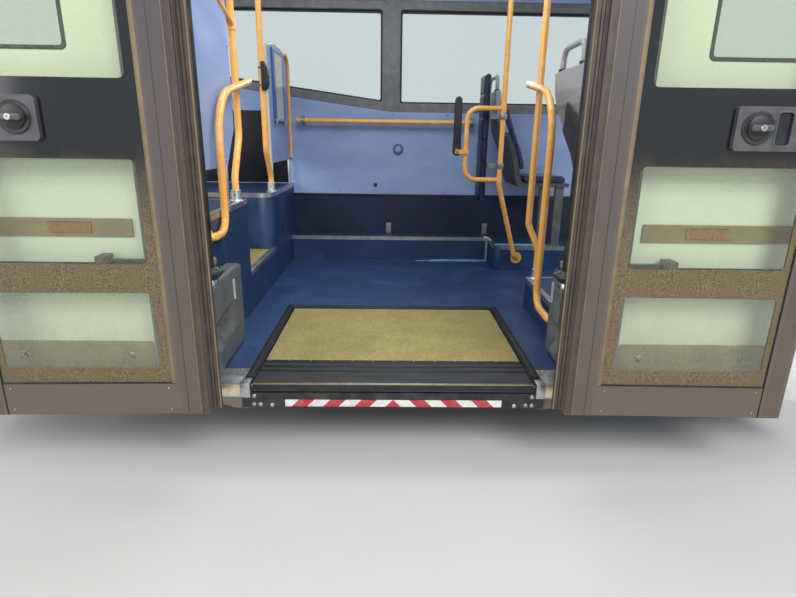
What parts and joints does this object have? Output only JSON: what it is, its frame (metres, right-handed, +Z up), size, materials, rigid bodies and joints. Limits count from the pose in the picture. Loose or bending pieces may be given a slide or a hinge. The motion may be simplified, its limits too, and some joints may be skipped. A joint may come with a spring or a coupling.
{
  "type": "bus middle doorway bay",
  "caption": "Full-width section of a low-entry passenger bus at its middle doorway, with outward-swinging leaves, folding ramp, steps, seats and rails.",
  "frame": {"origin": "lower face of the underframe, midway between its four bolt holes: the middle of the ramp along the bus, and the bus's centreline across it", "axes": "+X to the front of the bus, +Y away from the doorway side, +Z up"},
  "size_m": [3.6, 2.6859, 2.6983],
  "materials": {
    "chassis_paint": "semi-gloss underbody paint",
    "floor_vinyl": "matt dark-blue vinyl flooring",
    "black_steel": "black powder coat",
    "alu_trim": "anodised",
    "body_paint": "gloss light paint",
    "blue_laminate": "satin light-blue laminate",
    "dark_vinyl": "matt dark-blue vinyl covering",
    "frame_plastic": "grained grey plastic",
    "window_glass": "tinted glass",
    "black_rubber": "matt",
    "orange_lens": "clear orange lens",
    "ceiling_laminate": "satin off-white",
    "cover_plastic": "grained grey plastic",
    "drive_metal": "grey paint",
    "yellow_tread": "worn studded yellow",
    "black_tread": "dusty black, ribbed",
    "screen_pane": "clear pane",
    "orange_paint": "gloss orange powder coat",
    "poster_blue": "blue frame, blank card",
    "cast_grey": "cast, satin",
    "pad_leather": "navy imitation leather",
    "switch_black": "black plastic",
    "seat_shell": "grey moulded plastic",
    "seat_fabric": "navy woven",
    "leaf_alu": "bronze-grey anodised, fluted",
    "leaf_glass": "green tint, dark border",
    "hatch_plastic": "satin",
    "plate_metal": "mill finish"
  },
  "bodies": {
    "root": {"underframe": "chassis_paint", "floor": "floor_vinyl", "ramp_frame": "black_steel", "sill_ends": "alu_trim", "door_posts": "black_steel", "wall_near": "body_paint", "lining_near": "blue_laminate", "wall_far": "body_paint", "lining_far": "blue_laminate", "lining_low": "dark_vinyl", "window_frames": "frame_plastic", "window_glass": "window_glass", "window_seals": "black_rubber", "rub_rails": "black_rubber", "marker_lamps": "orange_lens", "roof": "body_paint", "ceiling": "ceiling_laminate", "drive_cover": "ceiling_laminate", "door_drive": "drive_metal", "wall_duct": "dark_vinyl", "rear_platforms": "dark_vinyl", "rear_steps": "dark_vinyl", "podiums": "dark_vinyl", "edge_trims": "alu_trim", "step_tread": "yellow_tread", "screens": "screen_pane", "screen_rail": "orange_paint", "poster_frame": "poster_blue", "rear_stanchions": "orange_paint", "front_stanchions": "orange_paint", "grab_rails": "orange_paint", "wall_rail": "orange_paint", "rail_fittings": "cast_grey", "backrest_pad": "pad_leather", "pad_bracket": "cast_grey", "arm_bracket": "orange_paint", "bell_pushes": "switch_black", "seat_shells": "seat_shell", "seat_cushions": "seat_fabric", "seat_legs": "drive_metal", "mech_covers": "cover_plastic"},
    "column_rear": {"column_rear": "black_steel"},
    "column_front": {"column_front": "black_steel"},
    "leaf_rear": {"leaf_rear_frame": "leaf_alu", "leaf_rear_glass": "leaf_glass", "leaf_rear_lip": "black_rubber", "leaf_rear_lock": "switch_black"},
    "leaf_front": {"leaf_front_frame": "leaf_alu", "leaf_front_glass": "leaf_glass", "leaf_front_lip": "black_rubber", "leaf_front_lock": "switch_black"},
    "ramp": {"ramp_plate": "plate_metal", "ramp_yellow_pad": "yellow_tread", "ramp_black_tread": "black_tread"},
    "arm": {"folding_arm": "switch_black"},
    "hatch": {"roof_hatch": "hatch_plastic"},
    "flap": {"drive_flap": "ceiling_laminate"}
  },
  "joints": [
    {"name": "door_front_swing", "type": "hinge", "parent": "root", "child": "column_front", "pos_m": [0.682, -1.135, 1.4], "axis": [0, 0, -1], "range_deg": [0, 138.23]},
    {"name": "leaf_front_turn", "type": "hinge", "parent": "column_front", "child": "leaf_front", "pos_m": [0.97933, -1.3, 1.4], "axis": [0, 0, 1], "range_deg": [0, 139.58]},
    {"name": "door_rear_swing", "type": "hinge", "parent": "root", "child": "column_rear", "pos_m": [-0.728, -1.135, 1.4], "axis": [0, 0, 1], "range_deg": [0, 138.23]},
    {"name": "leaf_rear_turn", "type": "hinge", "parent": "column_rear", "child": "leaf_rear", "pos_m": [-1.02533, -1.3, 1.4], "axis": [0, 0, -1], "range_deg": [0, 139.58]},
    {"name": "ramp_fold", "type": "hinge", "parent": "root", "child": "ramp", "pos_m": [0, -1.213, 0.192], "axis": [-1, 0, 0], "range_deg": [-198, 0]},
    {"name": "arm_fold", "type": "hinge", "parent": "root", "child": "arm", "pos_m": [0.4345, 0.6, 1.068], "axis": [0, -1, 0], "range_deg": [0, 88]},
    {"name": "hatch_tilt", "type": "hinge", "parent": "root", "child": "hatch", "pos_m": [1.676, 0, 2.67], "axis": [0, 1, 0], "range_deg": [0, 20]},
    {"name": "drive_flap_lift", "type": "hinge", "parent": "root", "child": "flap", "pos_m": [-0.023, -1.003, 2.402], "axis": [1, 0, 0], "range_deg": [0, 75]}
  ],
  "couplings": [
    {"joint": "leaf_front_turn", "follows": "door_front_swing", "ratio": 1.0094},
    {"joint": "leaf_rear_turn", "follows": "door_rear_swing", "ratio": 1.0094}
  ]
}
